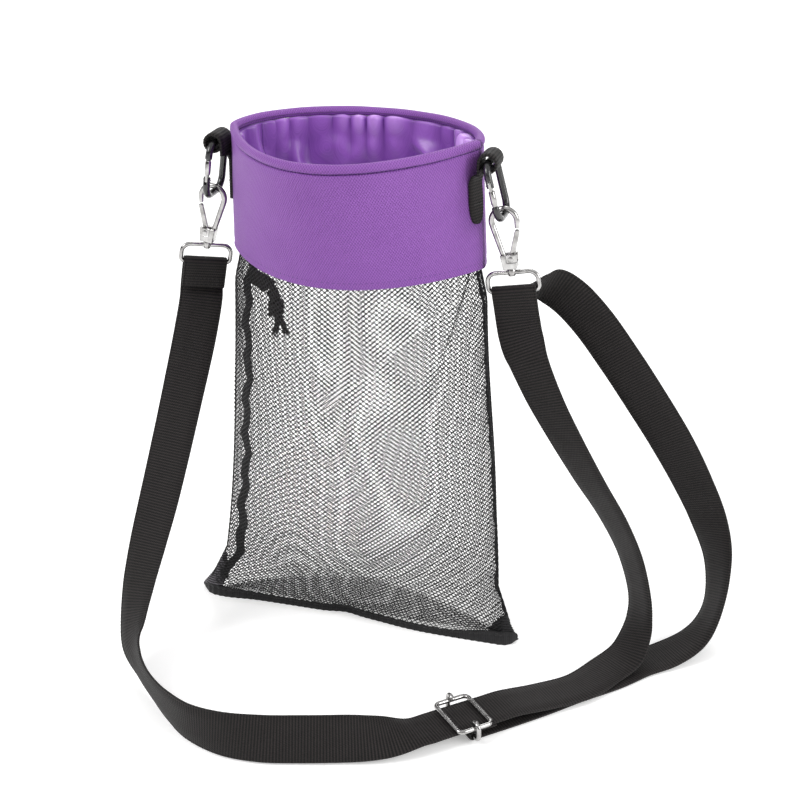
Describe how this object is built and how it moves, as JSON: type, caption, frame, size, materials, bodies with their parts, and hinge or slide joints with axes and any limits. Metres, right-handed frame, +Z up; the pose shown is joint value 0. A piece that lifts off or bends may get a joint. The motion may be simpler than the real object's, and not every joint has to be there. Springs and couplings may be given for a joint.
{
  "type": "peg bag",
  "caption": "Net pouch hanging from a stiff oval collar with a drawstring sleeve, clipped by carabiners and swivel snap hooks to an adjustable webbing shoulder strap.",
  "frame": {"origin": "on the floor, under the middle of the bag without its strap", "axes": "+Z up, front of the bag towards -Y, +X to the right seen from the front"},
  "size_m": [0.3437, 0.2242, 0.3],
  "materials": {
    "collar_cloth": "coated cloth with a fine slanting grain",
    "satin": "smooth satin with a soft sheen",
    "net": "open knitted net",
    "binding_tape": "matt woven tape",
    "webbing": "ribbed woven webbing",
    "black_metal": "gloss black",
    "bright_metal": "polished nickel"
  },
  "bodies": {
    "bag": {"collar_band": "collar_cloth", "rim_piping": "collar_cloth", "closure_sleeve": "satin", "net_front": "net", "net_back": "net", "left_seam_tape": "binding_tape", "right_seam_tape": "binding_tape", "bottom_binding": "binding_tape", "left_tab": "webbing", "right_tab": "webbing", "drawcord": "webbing", "strap_main": "webbing", "strap_rear": "webbing"},
    "left_carabiner": {"left_carabiner_body": "black_metal", "left_carabiner_pin": "bright_metal"},
    "left_carabiner_gate": {"left_carabiner_gate": "bright_metal"},
    "left_hook": {"left_hook_body": "bright_metal", "left_hook_rivet": "bright_metal"},
    "left_hook_gate": {"left_hook_gate": "bright_metal"},
    "left_ring": {"left_swivel_ring": "bright_metal", "strap_left_end": "webbing"},
    "right_carabiner": {"right_carabiner_body": "black_metal", "right_carabiner_pin": "bright_metal"},
    "right_carabiner_gate": {"right_carabiner_gate": "bright_metal"},
    "right_hook": {"right_hook_body": "bright_metal", "right_hook_rivet": "bright_metal"},
    "right_hook_gate": {"right_hook_gate": "bright_metal"},
    "right_ring": {"right_swivel_ring": "bright_metal", "strap_right_bend": "webbing"},
    "slider": {"slider_frame": "bright_metal", "slider_bar": "bright_metal", "strap_tail_loop": "webbing"}
  },
  "joints": [
    {"name": "left_carabiner_swing", "type": "hinge", "parent": "bag", "child": "left_carabiner", "pos_m": [-0.07915, 0.002, 0.2905], "axis": [0, 1, 0], "range_deg": [0, 15]},
    {"name": "left_carabiner_gate_open", "type": "hinge", "parent": "left_carabiner", "child": "left_carabiner_gate", "pos_m": [-0.08197, -0.0095, 0.2707], "axis": [-0.99, 0, 0.1409], "range_deg": [0, 25], "stiffness_Nm_per_rad": 0.02, "springref_deg": -11.46},
    {"name": "left_hook_swing", "type": "hinge", "parent": "left_carabiner", "child": "left_hook", "pos_m": [-0.08345, 0.002, 0.2603], "axis": [0, 1, 0], "range_deg": [0, 15]},
    {"name": "left_hook_gate_open", "type": "hinge", "parent": "left_hook", "child": "left_hook_gate", "pos_m": [-0.08878, 0.002, 0.23697], "axis": [0, 1, 0], "range_deg": [0, 20], "stiffness_Nm_per_rad": 0.02, "springref_deg": -11.46},
    {"name": "left_ring_swivel", "type": "hinge", "parent": "left_hook", "child": "left_ring", "pos_m": [-0.08345, 0.002, 0.2603], "axis": [0.1736, 0, 0.9848], "range_deg": [-90, 90]},
    {"name": "right_carabiner_swing", "type": "hinge", "parent": "bag", "child": "right_carabiner", "pos_m": [0.07555, 0.002, 0.2905], "axis": [0, -1, 0], "range_deg": [0, 15]},
    {"name": "right_carabiner_gate_open", "type": "hinge", "parent": "right_carabiner", "child": "right_carabiner_gate", "pos_m": [0.07827, -0.0095, 0.28036], "axis": [0.9659, 0, 0.2588], "range_deg": [0, 25], "stiffness_Nm_per_rad": 0.02, "springref_deg": -11.46},
    {"name": "right_hook_swing", "type": "hinge", "parent": "right_carabiner", "child": "right_hook", "pos_m": [0.08344, 0.002, 0.26104], "axis": [0, -1, 0], "range_deg": [0, 15]},
    {"name": "right_hook_gate_open", "type": "hinge", "parent": "right_hook", "child": "right_hook_gate", "pos_m": [0.08878, 0.002, 0.23771], "axis": [0, -1, 0], "range_deg": [0, 20], "stiffness_Nm_per_rad": 0.02, "springref_deg": -11.46},
    {"name": "right_ring_swivel", "type": "hinge", "parent": "right_hook", "child": "right_ring", "pos_m": [0.08344, 0.002, 0.26104], "axis": [-0.1736, 0, 0.9848], "range_deg": [-90, 90]},
    {"name": "slider_slide", "type": "slide", "parent": "bag", "child": "slider", "axis": [0.7302, 0.6832, 0], "range_m": [-0.01, 0.01]}
  ]
}
